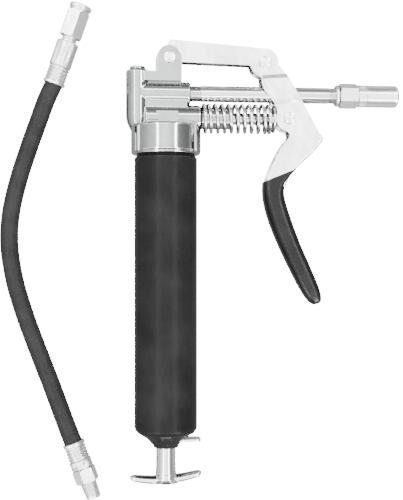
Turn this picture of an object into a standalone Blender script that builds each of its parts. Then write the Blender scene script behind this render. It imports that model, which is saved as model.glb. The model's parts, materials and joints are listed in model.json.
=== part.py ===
"""Mini pistol-grip grease gun with its whip hose, lying on its side. Metres, +Z up.

Gun frame: u runs along the extension pipe, v up the barrel towards the head, w out of the lever's plane.
Its origin is on the barrel's axis at the skirt's lower edge.
"""
import bpy
import bmesh
from math import asin, atan2, cos, hypot, pi, radians, sin
from mathutils import Vector

MM = 0.001
GAP = 0.3
MERGE = 1e-6
ROUND = 24
SMALL = 14

# barrel and skirt, mm
BARREL_R = 19.4
BARREL_WALL = 1.2
NECK_R = 17.7
SKIRT_R = 20.6
SKIRT_LUG_R = 21.5
SKIRT_BEAD_R = 21.2
SKIRT_BORE_R = 18.0
SKIRT_TOP = 18.8
BARREL_CORNER_V = -168.5
CONE_TOP_V = -173.4
CONE_END_V = -180.3
BARREL_END_V = -181.5

# rod and T-handle
ROD_R = 6.0
ROD_END_V = -197.0
HANDLE_REACH = 22.4
HANDLE_LOW_V = -203.6
HANDLE_HALF_V = 2.9
HANDLE_RISE = 2.9
HANDLE_SLOPE = 1.2

# latch plate on the rod
LATCH_V = -176.2
LATCH_HINGE_U = -8.6
LATCH_REACH = 21.6

# head
PUMP_U = -17.5
PUMP_R = 7.1
PUMP_TOP_V = 52.4
PIPE_V = 38.2
PIPE_R = 4.95
PIPE_BOSS_R = 7.0
PIPE_BOSS_END = 15.0
PLUNGER_V = 22.9
PLUNGER_R = 3.7
PLUNGER_INNER_U = 4.5
EAR_FOOT_V = 44.2
PLUNGER_BOSS_R = 7.9
SPRING_SHOULDER_U = 21.5
NOSE_R = 6.5
NOSE_END_U = 41.2

# linkage pins, as (u, v)
HEAD_PIN = (1.7, 59.3)
LINK_PIN = (61.0, 57.4)
PLUNGER_PIN = (76.5, 22.9)
PIN_R = 2.0
RIVET_R = 3.4
EAR_R = 7.7
EAR_INNER = 4.9
EAR_OUTER = 8.2
LINK_HALF = 4.6
LINK_WALL = 1.4
FLANGE_INNER = 4.9
FLANGE_OUTER = 6.5
BULGE_INNER = 6.0
BULGE_OUTER = 7.6
LINK_SLOT_R = 4.7

# coupler, along u
COLLAR_U = (106.5, 109.1)
HEX_END_U = 120.7
HEX_CORNER_R = 8.0
SLEEVE_R = 6.95
SLEEVE_END_U = 146.8
NOSE_ROUND = 2.3

# whip hose, world millimetres: the route of its middle line, hand-chosen
HOSE_R = 5.8
FERRULE_R = 7.1
HOSE_ROUTE = [
    (-129.4, 120.8, 7.9), (-132.4, 112.3, 7.9), (-135.5, 105.9, 7.5), (-138.5, 98.9, 6.9),
    (-142.3, 88.7, 6.3), (-146.1, 78.6, 6.0), (-149.6, 68.4, 5.9), (-153.0, 58.2, 5.9),
    (-155.9, 48.1, 5.9), (-158.4, 37.9, 5.9), (-160.1, 27.7, 5.9), (-160.8, 17.6, 5.9),
    (-160.5, 7.4, 5.9), (-159.1, -2.8, 5.9), (-157.1, -12.9, 5.9), (-154.3, -23.1, 5.9),
    (-151.0, -33.3, 5.9), (-147.4, -43.4, 5.9), (-143.5, -53.6, 5.9), (-139.6, -63.8, 5.9),
    (-135.6, -73.9, 6.0), (-131.7, -84.1, 6.3), (-127.8, -94.3, 6.9), (-123.9, -104.4, 7.5),
    (-119.9, -114.3, 7.9), (-116.7, -122.8, 7.9),
]
HOSE_POINTS = 40

# the tilt at which the skirt's bead and the coupler's nose both touch the ground
NOSE_TOUCH_U = SLEEVE_END_U - NOSE_ROUND
TILT = asin(SKIRT_BEAD_R / hypot(NOSE_TOUCH_U, SLEEVE_R)) - atan2(SLEEVE_R, NOSE_TOUCH_U)
HANDLE_TOP_V = 71.2
GUN_X = -(SLEEVE_END_U + PUMP_U - PUMP_R) / 2 * cos(TILT)
GUN_Y = -(HANDLE_TOP_V + HANDLE_LOW_V) / 2

FINISHES = {
    "cast_zinc": ((0.62, 0.64, 0.64), 0.38, 1.0),
    "black_paint": ((0.022, 0.022, 0.023), 0.32, 0.0),
    "chrome": ((0.82, 0.82, 0.83), 0.12, 1.0),
    "plated_steel": ((0.66, 0.66, 0.65), 0.28, 1.0),
    "spring_steel": ((0.58, 0.57, 0.55), 0.3, 1.0),
    "black_rubber": ((0.02, 0.02, 0.02), 0.6, 0.0),
    "black_vinyl": ((0.012, 0.012, 0.012), 0.35, 0.0),
}


def finish(obj, slot):
    colour, roughness, metallic = FINISHES[slot]
    material = bpy.data.materials.get(slot) or bpy.data.materials.new(slot)
    material.use_nodes = True
    shader = material.node_tree.nodes["Principled BSDF"]
    shader.inputs["Base Color"].default_value = (*colour, 1)
    shader.inputs["Roughness"].default_value = roughness
    shader.inputs["Metallic"].default_value = metallic
    obj.data.materials.append(material)


def to_object(name, bm, slot=None):
    bmesh.ops.remove_doubles(bm, verts=bm.verts, dist=MERGE)
    bmesh.ops.recalc_face_normals(bm, faces=bm.faces)
    mesh = bpy.data.meshes.new(name)
    bm.to_mesh(mesh)
    bm.free()
    mesh.shade_smooth()
    mesh.set_sharp_from_angle(angle=radians(35))
    obj = bpy.data.objects.new(name, mesh)
    bpy.context.collection.objects.link(obj)
    if slot:
        finish(obj, slot)
    return obj


def empty(name, at, parent=None):
    obj = bpy.data.objects.new(name, None)
    bpy.context.collection.objects.link(obj)
    obj.location = Vector(at) * MM
    obj.parent = parent
    return obj


def place(obj, at, axis, frame):
    """Stand a piece whose own axis is Z along u, v or w of the gun frame, under an empty of that frame."""
    turn = {"u": (0, pi / 2, 0), "v": (-pi / 2, 0, 0), "w": (0, 0, 0)}[axis]
    obj.rotation_euler = turn
    obj.parent = frame
    obj.location = Vector(at) * MM
    if frame.parent:
        obj.location -= frame.location
    return obj


def turned(name, profile, slot=None, steps=ROUND, ring=False, start=0.07):
    """A lathe shape about Z from (radius, height) points in mm."""
    bm = bmesh.new()
    cs, sn = cos(start), sin(start)
    verts = [bm.verts.new((r * MM * cs, r * MM * sn, h * MM)) for r, h in profile]
    ends = verts[1:] + verts[:1] if ring else verts[1:]
    edges = [bm.edges.new(pair) for pair in zip(verts, ends)]
    bmesh.ops.spin(bm, geom=verts + edges, cent=(0, 0, 0), axis=(0, 0, 1), angle=2 * pi,
                   steps=steps, use_merge=True)
    return to_object(name, bm, slot)


def rod(name, radius, low, high, slot=None, steps=ROUND, bevel=0.0):
    """A solid round bar along Z."""
    profile = [(0, high), (radius - bevel, high), (radius, high - bevel),
               (radius, low + bevel), (radius - bevel, low), (0, low)]
    if not bevel:
        profile = [(0, high), (radius, high), (radius, low), (0, low)]
    return turned(name, profile, slot, steps)


def tube(name, outer, inner, low, high, slot=None, steps=ROUND):
    """A plain ring along Z."""
    profile = [(outer, high), (outer, low), (inner, low), (inner, high)]
    return turned(name, profile, slot, steps, ring=True)


def hexagon(name, corner, low, high, slot=None):
    """A chamfered hexagonal bar along Z with corners on Y."""
    cut = 0.7
    profile = [(0, high), (corner - cut, high), (corner, high - cut), (corner, low + cut),
               (corner - cut, low), (0, low)]
    return turned(name, profile, slot, 6, start=pi / 2)


def plate(name, outline, low, high, slot=None):
    """A flat shape in u, v, extruded along w."""
    bm = bmesh.new()
    face = bm.faces.new([bm.verts.new((u * MM, v * MM, low * MM)) for u, v in outline])
    made = bmesh.ops.extrude_face_region(bm, geom=[face])
    lifted = [g for g in made["geom"] if isinstance(g, bmesh.types.BMVert)]
    bmesh.ops.translate(bm, verts=lifted, vec=(0, 0, (high - low) * MM))
    return to_object(name, bm, slot)


def block(name, low, high):
    """A box between two corners in the gun frame."""
    (u0, v0, w0), (u1, v1, w1) = low, high
    return plate(name, [(u0, v0), (u1, v0), (u1, v1), (u0, v1)], w0, w1)


def arc(centre, radius, first, last, steps):
    """Points of an arc, in degrees."""
    angles = [radians(first + (last - first) * i / steps) for i in range(steps + 1)]
    return [(centre[0] + radius * cos(a), centre[1] + radius * sin(a)) for a in angles]


def coil(name, radius, wire, low, high, turns, slot, steps=14, sides=8, ends=1.0):
    """A coil spring about Z with closed end turns."""
    closed = 2.15 * wire
    open_turns = turns - 2 * ends
    rise = (high - low - 2 * wire - 2 * ends * closed) / open_turns
    bm = bmesh.new()
    rings = []
    for i in range(int(turns * steps) + 1):
        t = i / steps
        h = low + wire + closed * min(t, ends) + rise * min(max(t - ends, 0), open_turns)
        h += closed * max(t - ends - open_turns, 0)
        a = 2 * pi * t
        ring = []
        for k in range(sides):
            b = 2 * pi * k / sides
            r = radius + wire * cos(b)
            ring.append(bm.verts.new((r * cos(a) * MM, r * sin(a) * MM, (h + wire * sin(b)) * MM)))
        rings.append(ring)
    for first, second in zip(rings, rings[1:]):
        for k in range(sides):
            n = (k + 1) % sides
            bm.faces.new((first[k], first[n], second[n], second[k]))
    bm.faces.new(rings[0])
    bm.faces.new(rings[-1])
    return to_object(name, bm, slot)


def boolean(obj, others, kind):
    """One exact Boolean of obj with a whole group of hidden shapes."""
    group = bpy.data.collections.new(f"{obj.name}_{kind.lower()}")
    for other in others:
        group.objects.link(other)
        other.hide_render = True
        other.display_type = "WIRE"
    modifier = obj.modifiers.new(kind.lower(), "BOOLEAN")
    modifier.operand_type = "COLLECTION"
    modifier.collection = group
    modifier.operation = kind
    modifier.solver = "EXACT"


def add(obj, *others):
    boolean(obj, others, "UNION")


def cut(obj, *others):
    boolean(obj, others, "DIFFERENCE")


def skirt_lug(name, middle):
    """A raised grip pad on the skirt, 71 degrees wide."""
    half = 35.5
    outer = arc((0, 0), SKIRT_LUG_R, middle - half, middle + half, 12)
    inner = arc((0, 0), SKIRT_BORE_R + 1, middle + half, middle - half, 12)
    return plate(name, outer + inner, 2.0, 15.5)


def head(gun):
    """Cast head: skirt, upright valve body, pipe boss, plunger boss and the two ears."""
    skirt_profile = [(0, SKIRT_TOP), (SKIRT_R - 2.2, SKIRT_TOP), (SKIRT_R, SKIRT_TOP - 1.6),
                     (SKIRT_R, 2.2), (SKIRT_BEAD_R, 1.2), (SKIRT_R, 0), (0, 0)]
    body = place(turned("head", skirt_profile, "cast_zinc", 32), (0, 0, 0), "v", gun)
    column = [(0, PUMP_TOP_V), (PUMP_R - 1.4, PUMP_TOP_V), (PUMP_R, PUMP_TOP_V - 1.4),
              (PUMP_R, 17.0), (PUMP_R - 3.5, 13.5), (0, 13.5)]
    pipe_boss = rod("pipe_boss", PIPE_BOSS_R, PUMP_U + 2.3, PIPE_BOSS_END, bevel=1.2)
    plunger_boss = [(0, NOSE_END_U), (NOSE_R - 0.5, NOSE_END_U), (NOSE_R, NOSE_END_U - 0.5),
                    (NOSE_R, SPRING_SHOULDER_U), (PLUNGER_BOSS_R - 0.8, SPRING_SHOULDER_U),
                    (PLUNGER_BOSS_R, SPRING_SHOULDER_U - 0.8), (PLUNGER_BOSS_R, -12.7), (0, -12.7)]
    ear = arc(HEAD_PIN, EAR_R, 0, 180, 14)
    ear += [(HEAD_PIN[0] - EAR_R, 51.1), (-14.3, 51.1), (-14.3, EAR_FOOT_V), (HEAD_PIN[0] + EAR_R, EAR_FOOT_V)]
    add(
        body,
        place(skirt_lug("lug_right", 0), (0, 0, 0), "v", gun),
        place(skirt_lug("lug_left", 180), (0, 0, 0), "v", gun),
        place(turned("valve_body", column), (PUMP_U, 0, 0), "v", gun),
        place(pipe_boss, (0, PIPE_V, 0), "u", gun),
        place(turned("plunger_boss", plunger_boss), (0, PLUNGER_V, 0), "u", gun),
        place(block("web", (-15.1, 12.3, -5.2), (12.6, 36.7, 5.2)), (0, 0, 0), "w", gun),
        place(plate("ears", ear, -EAR_OUTER, EAR_OUTER), (0, 0, 0), "w", gun),
    )
    slot = block("ear_slot", (HEAD_PIN[0] - 8.6, 51.6, -EAR_INNER), (HEAD_PIN[0] + 12, 70, EAR_INNER))
    plunger_bore = [(0, 60), (5.5, 60), (5.5, 33.5), (4.05, 33.5), (4.05, -14), (0, -14)]
    valve_bore = [(0, 60), (4.0, 60), (4.0, 45.6), (3.2, 45.6), (3.2, 31), (1.8, 29.6), (1.8, 20), (0, 20)]
    socket_r = PIPE_R + GAP
    outlet = [(0, 30), (socket_r, 30), (socket_r, 1.5), (2.4, 1.5), (2.4, PUMP_U + 0.4), (0, PUMP_U + 0.4)]
    cut(
        body,
        place(slot, (0, 0, 0), "w", gun),
        place(rod("skirt_bore", SKIRT_BORE_R, -5, 15.6, steps=32), (0, 0, 0), "v", gun),
        place(rod("intake_port", 2.0, 10, PLUNGER_V + 1, steps=SMALL), (2, 0, 0), "v", gun),
        place(turned("plunger_bore", plunger_bore), (0, PLUNGER_V, 0), "u", gun),
        place(rod("delivery_port", 1.5, PUMP_U, -13, steps=SMALL), (0, PLUNGER_V, 0), "u", gun),
        place(turned("valve_bore", valve_bore, steps=SMALL), (PUMP_U, 0, 0), "v", gun),
        place(turned("outlet_bore", outlet), (0, PIPE_V, 0), "u", gun),
        place(rod("pin_bore", PIN_R + GAP, -20, 20, steps=SMALL), (*HEAD_PIN, 0), "w", gun),
    )


def barrel(gun):
    """Tube with a threaded neck, a rounded end and a cone that guides the rod."""
    corner = arc((BARREL_R - 5, BARREL_CORNER_V), 5, 0, -78, 6)
    outer = [(NECK_R, 13.4), (NECK_R, -1.2), (BARREL_R, -2.6)] + corner
    outer += [(7.8, CONE_END_V), (7.8, BARREL_END_V)]
    inner = [(ROD_R + 0.4, BARREL_END_V), (ROD_R + 0.4, CONE_END_V),
             (14.3, CONE_TOP_V + 0.7), (BARREL_R - BARREL_WALL, BARREL_CORNER_V),
             (BARREL_R - BARREL_WALL, -4.0), (NECK_R - BARREL_WALL, -2.6), (NECK_R - BARREL_WALL, 13.4)]
    body = place(turned("barrel", outer + inner, "black_paint", 32, ring=True), (0, 0, 0), "v", gun)
    slot = block("latch_slot", (7.0, LATCH_V - 1.3, -6.6), (26, LATCH_V + 2.6, 6.6))
    cut(body, place(slot, (0, 0, 0), "w", gun))


def barrel_gasket(gun):
    place(tube("barrel_gasket", 17.7, 14.5, 13.7, 15.3, "black_rubber"), (0, 0, 0), "v", gun)


def valve(gun):
    """Check ball, its spring and the plug that holds them in."""
    ball = [(2.8 * sin(radians(a)), 33.2 + 2.8 * cos(radians(a))) for a in range(0, 181, 20)]
    place(turned("check_ball", ball, "chrome", 16), (PUMP_U, 0, 0), "v", gun)
    spring = coil("check_spring", 2.2, 0.35, 36.4, 45.2, 4, "spring_steel", steps=8, sides=5)
    place(spring, (PUMP_U, 0, 0), "v", gun)
    plug = [(0, 54.6), (4.2, 54.6), (4.9, 53.9), (4.9, PUMP_TOP_V + GAP), (3.7, PUMP_TOP_V + GAP),
            (3.7, 45.9), (0, 45.9)]
    place(turned("valve_plug", plug, "cast_zinc", 24), (PUMP_U, 0, 0), "v", gun)


def extension_pipe(gun):
    """Steel pipe that screws into the head and carries the coupler."""
    place(tube("extension_pipe", PIPE_R, 2.6, 2.0, 112, "chrome", 24), (0, PIPE_V, 0), "u", gun)


def coupler(gun):
    """Lock collar, hexagonal body, and what is inside the sleeve."""
    inner = PIPE_R + GAP
    first, last = COLLAR_U
    collar = [(5.6, last - GAP), (6.6, last - 0.8), (6.8, last - 1.4), (6.4, first + 0.4),
              (5.8, first), (inner, first), (inner, last - GAP)]
    place(turned("coupler_collar", collar, "plated_steel", 28, ring=True), (0, PIPE_V, 0), "u", gun)
    body = hexagon("coupler_hex", HEX_CORNER_R, last, HEX_END_U, "plated_steel")
    place(body, (0, PIPE_V, 0), "u", gun)
    add(body, place(rod("coupler_spigot", 5.5, 115, 127, steps=24), (0, PIPE_V, 0), "u", gun))
    bore = [(0, 135), (2.2, 135), (2.2, 113), (inner, 113), (inner, 100), (0, 100)]
    cut(body, place(turned("coupler_bore", bore), (0, PIPE_V, 0), "u", gun))
    spring = coil("coupler_spring", 3.9, 0.4, 127.4, 134.0, 4, "spring_steel", steps=8, sides=5)
    place(spring, (0, PIPE_V, 0), "u", gun)
    place(tube("coupler_seal", 5.0, 1.4, 134.3, 136.6, "black_rubber", 16), (0, PIPE_V, 0), "u", gun)
    for number in range(4):
        middle = 45 + 90 * number
        jaw = arc((0, 0), 5.2, middle - 39, middle + 39, 6) + arc((0, 0), 3.7, middle + 37, middle - 37, 6)
        piece = plate(f"coupler_jaw_{number + 1}", jaw, 137.0, 143.6, "plated_steel")
        place(piece, (0, PIPE_V, 0), "u", gun)


def coupler_sleeve(gun):
    """Turning sleeve that closes the jaws, with a round nose."""
    pivot = empty("sleeve_axis", (HEX_END_U, PIPE_V, 0), gun)
    nose = arc((SLEEVE_R - NOSE_ROUND, SLEEVE_END_U - NOSE_ROUND), NOSE_ROUND, 90, 0, 5)
    profile = nose + [(SLEEVE_R, HEX_END_U + GAP), (5.85, HEX_END_U + GAP), (5.85, 127.2),
                      (5.55, 127.2), (5.55, 144.2), (3.6, 145.2), (3.6, SLEEVE_END_U)]
    sleeve = turned("coupler_sleeve", profile, "plated_steel", 32, ring=True)
    place(sleeve, (0, PIPE_V, 0), "u", pivot)


def plunger(gun):
    """Pump plunger with its eye, the spring's seat and the return spring."""
    slide = empty("plunger_axis", (PLUNGER_PIN[0], PLUNGER_V, 0), gun)
    body = rod("plunger", PLUNGER_R, PLUNGER_INNER_U, PLUNGER_PIN[0], "chrome", 24)
    place(body, (0, PLUNGER_V, 0), "u", slide)
    add(body, place(rod("plunger_eye", 5.4, -4.4, 4.4, steps=24), (*PLUNGER_PIN, 0), "w", slide))
    cut(body, place(rod("eye_bore", PIN_R + GAP, -9, 9, steps=SMALL), (*PLUNGER_PIN, 0), "w", slide))
    seat = tube("spring_seat", 8.6, PLUNGER_R + GAP, 66.7, 67.9, "plated_steel", 24)
    place(seat, (0, PLUNGER_V, 0), "u", slide)
    spring = coil("return_spring", 8.1, 0.9, SPRING_SHOULDER_U + GAP, 66.4, 11, "spring_steel", 12, 6)
    place(spring, (0, PLUNGER_V, 0), "u", slide)


def packing(gun):
    """Seal ring and the nut that presses it, in the plunger boss's nose."""
    ring = tube("packing_ring", 5.2, PLUNGER_R + GAP, 33.8, 37.4, "black_rubber", 24)
    place(ring, (0, PLUNGER_V, 0), "u", gun)
    nut = tube("packing_nut", 5.2, PLUNGER_R + GAP, 37.7, NOSE_END_U - 0.2, "plated_steel", 24)
    place(nut, (0, PLUNGER_V, 0), "u", gun)


def rivet(name, half, at, frame):
    """Headed pin: a shank and two flat heads outside half."""
    out = half + GAP
    profile = [(0, out + 0.9), (RIVET_R - 0.5, out + 0.9), (RIVET_R, out + 0.4), (RIVET_R, out), (PIN_R, out),
               (PIN_R, -out), (RIVET_R, -out), (RIVET_R, -out - 0.4), (RIVET_R - 0.5, -out - 0.9), (0, -out - 0.9)]
    place(turned(name, profile, "plated_steel", SMALL), (*at, 0), "w", frame)


def link(gun):
    """Top link, a channel open downwards, between the ears and the lever's cheeks."""
    pivot = empty("link_axis", (*HEAD_PIN, 0), gun)
    hollow = [(-12, 40), (80, 40), (80, 62), (62, 65.2), (HEAD_PIN[0] + 1.4, 69.8), (-12, 69.8)]
    outline = [(HEAD_PIN[0] + 0.2, HANDLE_TOP_V)] + arc(HEAD_PIN, 6.6, 100, 275, 12)
    outline += [(9.2, 57.1), (52.0, 55.8)] + arc(LINK_PIN, 9.0, 215, 445, 18)
    body = place(plate("link", outline, -LINK_HALF, LINK_HALF, "plated_steel"), (0, 0, 0), "w", pivot)
    inner = LINK_HALF - LINK_WALL
    cut(
        body,
        place(plate("link_hollow", hollow, -inner, inner), (0, 0, 0), "w", pivot),
        place(rod("link_bore", PIN_R + GAP, -9, 9, steps=SMALL), (*HEAD_PIN, 0), "w", pivot),
        place(rod("link_clearance", LINK_SLOT_R, -9, 9, steps=SMALL), (*LINK_PIN, 0), "w", pivot),
    )


GRIP_STATIONS = [
    # u, v, half-width in the plane, half-depth along w
    (68.4, -20.2, 6.6, 7.2), (68.7, -26.0, 7.3, 7.5), (70.8, -39.1, 7.3, 7.6), (74.2, -49.0, 7.2, 7.6),
    (78.2, -58.9, 7.1, 7.5), (82.6, -68.8, 6.9, 7.3), (87.2, -78.7, 6.5, 6.9), (90.6, -85.6, 5.9, 6.2),
    (92.6, -89.4, 4.6, 4.8), (93.6, -91.4, 2.4, 2.6),
]
GRIP_WALL = 1.5
GRIP_SIDES = 20
GRIP_HOLLOW = 7
TONGUE_DEPTH = 3.6
TONGUE_HALF = 3.7


def grip_directions():
    """Unit steps along the grip's middle line."""
    middles = [Vector(s[:2]) for s in GRIP_STATIONS]
    last = len(middles) - 1
    return [(middles[min(i + 1, last)] - middles[max(i - 1, 0)]).normalized() for i in range(last + 1)]


def tongue_outline():
    """The lever's end inside the grip, on the grip's middle line."""
    left, right = [(68.2 - TONGUE_HALF, -12.0)], [(68.2 + TONGUE_HALF, -12.0)]
    for (u, v, _, _), along in list(zip(GRIP_STATIONS, grip_directions()))[1:GRIP_HOLLOW - 1]:
        left.append((u + along.y * TONGUE_HALF, v - along.x * TONGUE_HALF))
        right.append((u - along.y * TONGUE_HALF, v + along.x * TONGUE_HALF))
    return left + right[::-1]


CHEEK_RIGHT = [(69.8, 56.2), (75.5, 49.0), (83.8, 35.2), (94.7, 15.3), (98.0, 10.4), (96.4, 7.4), (91.4, 1.6),
               (82.3, -6.6), (77.2, -12.6), (74.4, -19.4)]
CHEEK_LEFT = [(62.3, -17.8), (62.6, -13.6), (66.2, -5.0), (71.2, 4.6), (76.0, 10.6), (76.6, 12.0), (75.4, 14.7)]
CHEEK_UP = [(68.5, 30.6), (65.2, 36.0), (60.4, 41.0), (58.8, 49.2)]


def lever(gun):
    """Pressed lever: two cheeks with a bulge past the pipe, joined by a web below the plunger's pin."""
    pivot = empty("lever_axis", (*PLUNGER_PIN, 0), gun)
    lobe = arc(PLUNGER_PIN, 8.2, 262, 160, 10)
    top = arc(LINK_PIN, 8.7, 255, -8, 20)
    outline = CHEEK_RIGHT + CHEEK_LEFT + lobe[1:] + CHEEK_UP + top
    body = place(plate("lever", outline, -FLANGE_OUTER, FLANGE_OUTER, "plated_steel"), (0, 0, 0), "w", pivot)
    bulge = [(58.9, 48.9), (75.0, 49.2), (83.3, 35.6), (67.6, 31.6), (65.5, 36.0), (60.7, 41.2)]
    add(
        body,
        place(plate("bulge", bulge, -BULGE_OUTER, BULGE_OUTER), (0, 0, 0), "w", pivot),
        place(plate("tongue", tongue_outline(), -TONGUE_DEPTH, TONGUE_DEPTH), (0, 0, 0), "w", pivot),
    )
    hollow = [(50, 70), (100, 70), (100, 17.5), (92.2, 16.6), (95.6, 10.6), (94.8, 8.2), (80.6, -6.6),
              (76.4, -11.4), (55, -11.0)]
    wide = [(55, 47.9), (78.6, 48.1), (86.0, 36.8), (64.0, 32.9)]
    cut(
        body,
        place(plate("lever_hollow", hollow, -FLANGE_INNER, FLANGE_INNER), (0, 0, 0), "w", pivot),
        place(plate("bulge_hollow", wide, -BULGE_INNER, BULGE_INNER), (0, 0, 0), "w", pivot),
        place(rod("link_pin_bore", PIN_R + GAP, -12, 12, steps=SMALL), (*LINK_PIN, 0), "w", pivot),
        place(rod("plunger_pin_bore", PIN_R + GAP, -12, 12, steps=SMALL), (*PLUNGER_PIN, 0), "w", pivot),
    )
    rivet("link_pin", FLANGE_OUTER, LINK_PIN, pivot)
    rivet("plunger_pin", FLANGE_OUTER, PLUNGER_PIN, pivot)
    lever_grip(pivot)


def grip_ring(bm, station, along, thinner):
    """One rounded-rectangle ring of the grip, square to its middle line."""
    u, v, half_width, half_depth = station
    across = Vector((along.y, -along.x))
    ring = []
    for k in range(GRIP_SIDES):
        a = 2 * pi * k / GRIP_SIDES
        c, s = cos(a), sin(a)
        x = (half_width - thinner) * abs(c) ** 0.75 * (1 if c >= 0 else -1)
        w = (half_depth - thinner) * abs(s) ** 0.75 * (1 if s >= 0 else -1)
        ring.append(bm.verts.new(((u + across.x * x) * MM, (v + across.y * x) * MM, w * MM)))
    return ring


def lever_grip(pivot):
    """Dipped vinyl sleeve over the lever's end."""
    bm = bmesh.new()
    alongs = grip_directions()
    outer = [grip_ring(bm, s, a, 0) for s, a in zip(GRIP_STATIONS, alongs)]
    inner = [grip_ring(bm, s, a, GRIP_WALL) for s, a in zip(GRIP_STATIONS[:GRIP_HOLLOW], alongs)]
    for shell in (outer, inner):
        for first, second in zip(shell, shell[1:]):
            for k in range(GRIP_SIDES):
                n = (k + 1) % GRIP_SIDES
                bm.faces.new((first[k], first[n], second[n], second[k]))
    for k in range(GRIP_SIDES):
        n = (k + 1) % GRIP_SIDES
        bm.faces.new((outer[0][k], outer[0][n], inner[0][n], inner[0][k]))
    bm.faces.new(outer[-1])
    bm.faces.new(inner[-1])
    place(to_object("lever_grip", bm, "black_vinyl"), (0, 0, 0), "w", pivot)


def follower(gun):
    """Cup, backing plate and spring that push the grease up the barrel."""
    slide = empty("follower_axis", (0, -10, 0), gun)
    bore = 3.2
    cup = [(17.9, -4.4), (17.9, -11.4), (16.4, -12.0), (bore, -12.0), (bore, -8.6), (12.0, -8.6), (16.6, -4.4)]
    place(turned("follower_cup", cup, "black_rubber", ROUND, ring=True), (0, 0, 0), "v", slide)
    place(tube("follower_plate", 15.2, bore, -13.9, -12.3, "plated_steel", 24), (0, 0, 0), "v", slide)
    spring = coil("follower_spring", 12.6, 0.8, CONE_TOP_V + 6.5, -14.2, 10, "spring_steel", 12, 5)
    place(spring, (0, 0, 0), "v", slide)


def handle_bar(name):
    """Curved bar of the T-handle, ends raised, thicker in the middle."""
    bm = bmesh.new()
    stations, sides = 16, 12
    rings = []
    for i in range(stations + 1):
        t = -1 + 2 * i / stations
        u = HANDLE_REACH * t
        taper = max(0.0, 1 - abs(t) ** 9) ** 0.5
        half_v = (HANDLE_HALF_V - 0.7 * abs(t)) * max(taper, 0.25)
        half_w = (4.4 - 0.9 * abs(t)) * max(taper, 0.25)
        v = HANDLE_LOW_V + HANDLE_HALF_V + HANDLE_RISE * abs(t) ** 2.2 + HANDLE_SLOPE * t
        lean = 0.27 * t + 0.05
        ring = []
        for k in range(sides):
            a = 2 * pi * k / sides
            x = half_v * cos(a)
            ring.append(bm.verts.new(((u - x * sin(lean)) * MM, (v + x * cos(lean)) * MM, half_w * sin(a) * MM)))
        rings.append(ring)
    for first, second in zip(rings, rings[1:]):
        for k in range(sides):
            n = (k + 1) % sides
            bm.faces.new((first[k], first[n], second[n], second[k]))
    bm.faces.new(rings[0])
    bm.faces.new(rings[-1])
    return to_object(name, bm, "chrome")


def follower_rod(gun):
    """Pull rod, its nut on the follower, and the T-handle."""
    turn = empty("rod_axis", (0, -10, 0), gun)
    profile = [(0, -0.8), (2.9, -0.8), (2.9, -14.2), (ROD_R, -14.2), (ROD_R, ROD_END_V), (0, ROD_END_V)]
    place(turned("follower_rod", profile, "chrome", 24), (0, 0, 0), "v", turn)
    nut = hexagon("follower_nut", 5.8, -8.3, -4.0, "plated_steel")
    place(nut, (0, 0, 0), "v", turn)
    cut(nut, place(rod("nut_bore", 2.9 + GAP, -12, 2, steps=SMALL), (0, 0, 0), "v", turn))
    bar = place(handle_bar("t_handle"), (0, 0, 0), "w", turn)
    add(bar, place(rod("handle_boss", 6.3, -202.0, ROD_END_V - GAP, steps=24), (0, 0, 0), "v", turn))


def latch(gun):
    """Rod lock: a tilting plate with a hole round the rod, and its spring."""
    pivot = empty("latch_axis", (LATCH_HINGE_U, LATCH_V, 0), gun)
    outline = arc((0, 0), 8.6, 45, 315, 16)
    outline += arc((LATCH_REACH - 3, -3), 3, -90, 0, 4) + arc((LATCH_REACH - 3, 3), 3, 0, 90, 4)
    flat = [(u, -w) for u, w in outline]
    body = plate("latch_plate", flat, LATCH_V - 0.75, LATCH_V + 0.75, "plated_steel")
    place(body, (0, 0, 0), "v", pivot)
    cut(body, place(rod("latch_bore", ROD_R + 0.45, -190, -160, steps=24), (0, 0, 0), "v", pivot))
    spring = coil("latch_spring", 7.3, 0.4, LATCH_V + 1.0, LATCH_V + 4.6, 2, "spring_steel", 10, 5, 0.25)
    place(spring, (0, 0, 0), "v", pivot)


def smooth_route(points, count):
    """Evenly spaced points of a Catmull-Rom curve through the route."""
    pts = [Vector(p) for p in points]
    pts = [2 * pts[0] - pts[1]] + pts + [2 * pts[-1] - pts[-2]]
    spans = len(pts) - 3
    result = []
    for i in range(count):
        t = i / (count - 1) * spans
        s = min(int(t), spans - 1)
        f = t - s
        p0, p1, p2, p3 = pts[s:s + 4]
        result.append(0.5 * (2 * p1 + (p2 - p0) * f + (2 * p0 - 5 * p1 + 4 * p2 - p3) * f * f
                             + (3 * p1 - p0 - 3 * p2 + p3) * f ** 3))
    return result


def hose_line():
    """Whip hose laid beside the gun."""
    lay = empty("hose_axis", HOSE_ROUTE[0])
    curve = bpy.data.curves.new("hose", "CURVE")
    curve.dimensions = "3D"
    curve.bevel_depth = HOSE_R * MM
    curve.bevel_resolution = 2
    curve.use_fill_caps = True
    spline = curve.splines.new("POLY")
    points = smooth_route(HOSE_ROUTE, HOSE_POINTS)
    spline.points.add(len(points) - 1)
    for point, at in zip(spline.points, points):
        point.co = (*((at - Vector(HOSE_ROUTE[0])) * MM), 1)
    hose = bpy.data.objects.new("hose", curve)
    bpy.context.collection.objects.link(hose)
    finish(hose, "black_rubber")
    hose.parent = lay
    hose_end("top", HOSE_ROUTE[0], HOSE_ROUTE[1], lay)
    hose_end("low", HOSE_ROUTE[-1], HOSE_ROUTE[-2], lay)


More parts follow.
